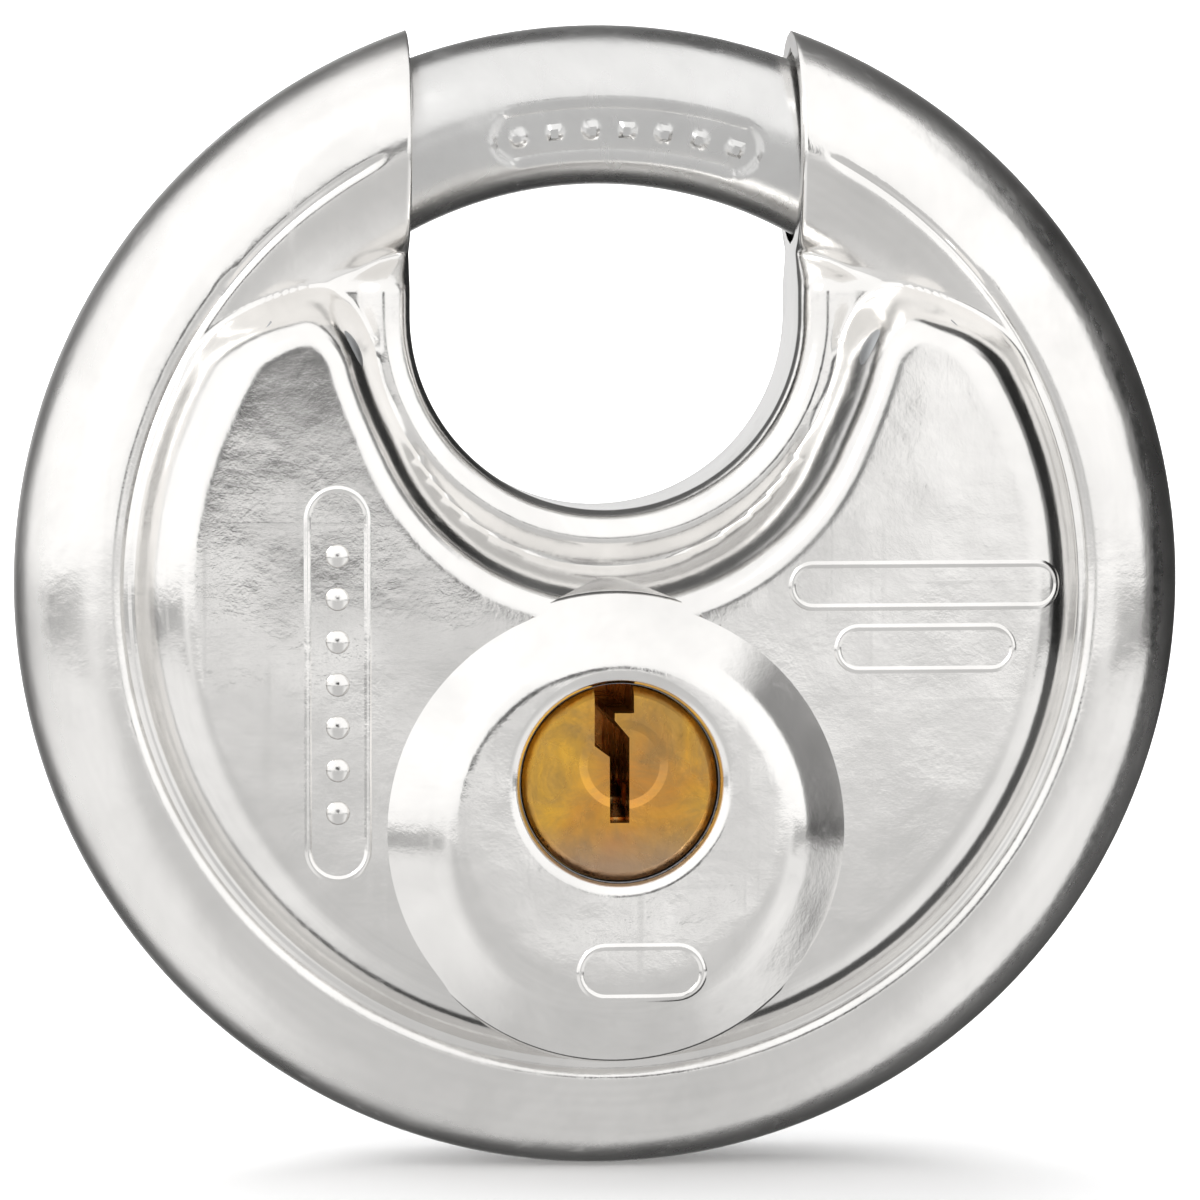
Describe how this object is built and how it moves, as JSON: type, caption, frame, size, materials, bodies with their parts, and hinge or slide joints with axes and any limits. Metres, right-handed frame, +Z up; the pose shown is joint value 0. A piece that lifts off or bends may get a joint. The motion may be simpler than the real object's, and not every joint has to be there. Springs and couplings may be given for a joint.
{
  "type": "disc padlock",
  "caption": "Round two-shell padlock: a C-shaped shackle turns inside the rim, driven by the plug's crank through a slotted carrier plate.",
  "frame": {"origin": "middle of the round case: on its axis, in the seam plane between the two shells", "axes": "+Z up to the shackle, key side towards -Y, +X to the right as seen from the key side"},
  "size_m": [0.07, 0.0256, 0.0683],
  "materials": {
    "polished_steel": "polished stainless",
    "shackle_steel": "polished hardened steel",
    "plated_steel": "zinc plated",
    "cast_zinc": "as cast",
    "housing_brass": "machined",
    "hard_steel": "hardened, ground",
    "plug_brass": "machined",
    "pin_brass": "machined",
    "spring_steel": "drawn wire"
  },
  "bodies": {
    "case": {"front_shell": "polished_steel", "rear_shell": "polished_steel", "core_body": "cast_zinc", "cylinder_housing": "housing_brass", "chamber_cover": "plated_steel", "anti_drill_plate": "hard_steel", "pin_spring_1": "spring_steel", "pin_spring_2": "spring_steel", "pin_spring_3": "spring_steel", "pin_spring_4": "spring_steel", "pin_spring_5": "spring_steel"},
    "shackle_set": {"shackle": "shackle_steel", "carrier_plate": "plated_steel", "carrier_rivets": "plated_steel"},
    "plug_set": {"plug": "plug_brass", "plug_clip": "plated_steel", "crank_disc": "plated_steel", "crank_pin": "hard_steel"},
    "key_pin_body_1": {"key_pin_1": "pin_brass"},
    "driver_body_1": {"driver_pin_1": "hard_steel"},
    "key_pin_body_2": {"key_pin_2": "pin_brass"},
    "driver_body_2": {"driver_pin_2": "hard_steel"},
    "key_pin_body_3": {"key_pin_3": "pin_brass"},
    "driver_body_3": {"driver_pin_3": "hard_steel"},
    "key_pin_body_4": {"key_pin_4": "pin_brass"},
    "driver_body_4": {"driver_pin_4": "hard_steel"},
    "key_pin_body_5": {"key_pin_5": "pin_brass"},
    "driver_body_5": {"driver_pin_5": "hard_steel"}
  },
  "joints": [
    {"name": "shackle_turn", "type": "hinge", "parent": "case", "child": "shackle_set", "pos_m": [0, 0, 0], "axis": [0, -1, 0], "range_deg": [0, 62]},
    {"name": "plug_turn", "type": "hinge", "parent": "case", "child": "plug_set", "pos_m": [0, 0, -0.0109], "axis": [0, -1, 0], "range_deg": [-118.2, 0]},
    {"name": "key_pin_slide_1", "type": "slide", "parent": "plug_set", "child": "key_pin_body_1", "axis": [0, 0, 1], "range_m": [0, 0.00118]},
    {"name": "driver_slide_1", "type": "slide", "parent": "case", "child": "driver_body_1", "axis": [0, 0, 1], "range_m": [-0.0006, 0], "stiffness_N_per_m": 60, "springref_m": 0.003, "deforming": ["pin_spring_1"]},
    {"name": "key_pin_slide_2", "type": "slide", "parent": "plug_set", "child": "key_pin_body_2", "axis": [0, 0, 1], "range_m": [0, 0.00028]},
    {"name": "driver_slide_2", "type": "slide", "parent": "case", "child": "driver_body_2", "axis": [0, 0, 1], "range_m": [-0.0006, 0], "stiffness_N_per_m": 60, "springref_m": 0.003, "deforming": ["pin_spring_2"]},
    {"name": "key_pin_slide_3", "type": "slide", "parent": "plug_set", "child": "key_pin_body_3", "axis": [0, 0, 1], "range_m": [0, 0.00148]},
    {"name": "driver_slide_3", "type": "slide", "parent": "case", "child": "driver_body_3", "axis": [0, 0, 1], "range_m": [-0.0006, 0], "stiffness_N_per_m": 60, "springref_m": 0.003, "deforming": ["pin_spring_3"]},
    {"name": "key_pin_slide_4", "type": "slide", "parent": "plug_set", "child": "key_pin_body_4", "axis": [0, 0, 1], "range_m": [0, 0.00058]},
    {"name": "driver_slide_4", "type": "slide", "parent": "case", "child": "driver_body_4", "axis": [0, 0, 1], "range_m": [-0.0006, 0], "stiffness_N_per_m": 60, "springref_m": 0.003, "deforming": ["pin_spring_4"]},
    {"name": "key_pin_slide_5", "type": "slide", "parent": "plug_set", "child": "key_pin_body_5", "axis": [0, 0, 1], "range_m": [0, 0.00088]},
    {"name": "driver_slide_5", "type": "slide", "parent": "case", "child": "driver_body_5", "axis": [0, 0, 1], "range_m": [-0.0006, 0], "stiffness_N_per_m": 60, "springref_m": 0.003, "deforming": ["pin_spring_5"]}
  ],
  "couplings": [
    {"joint": "plug_turn", "follows": "shackle_turn", "ratio": -1.904}
  ]
}
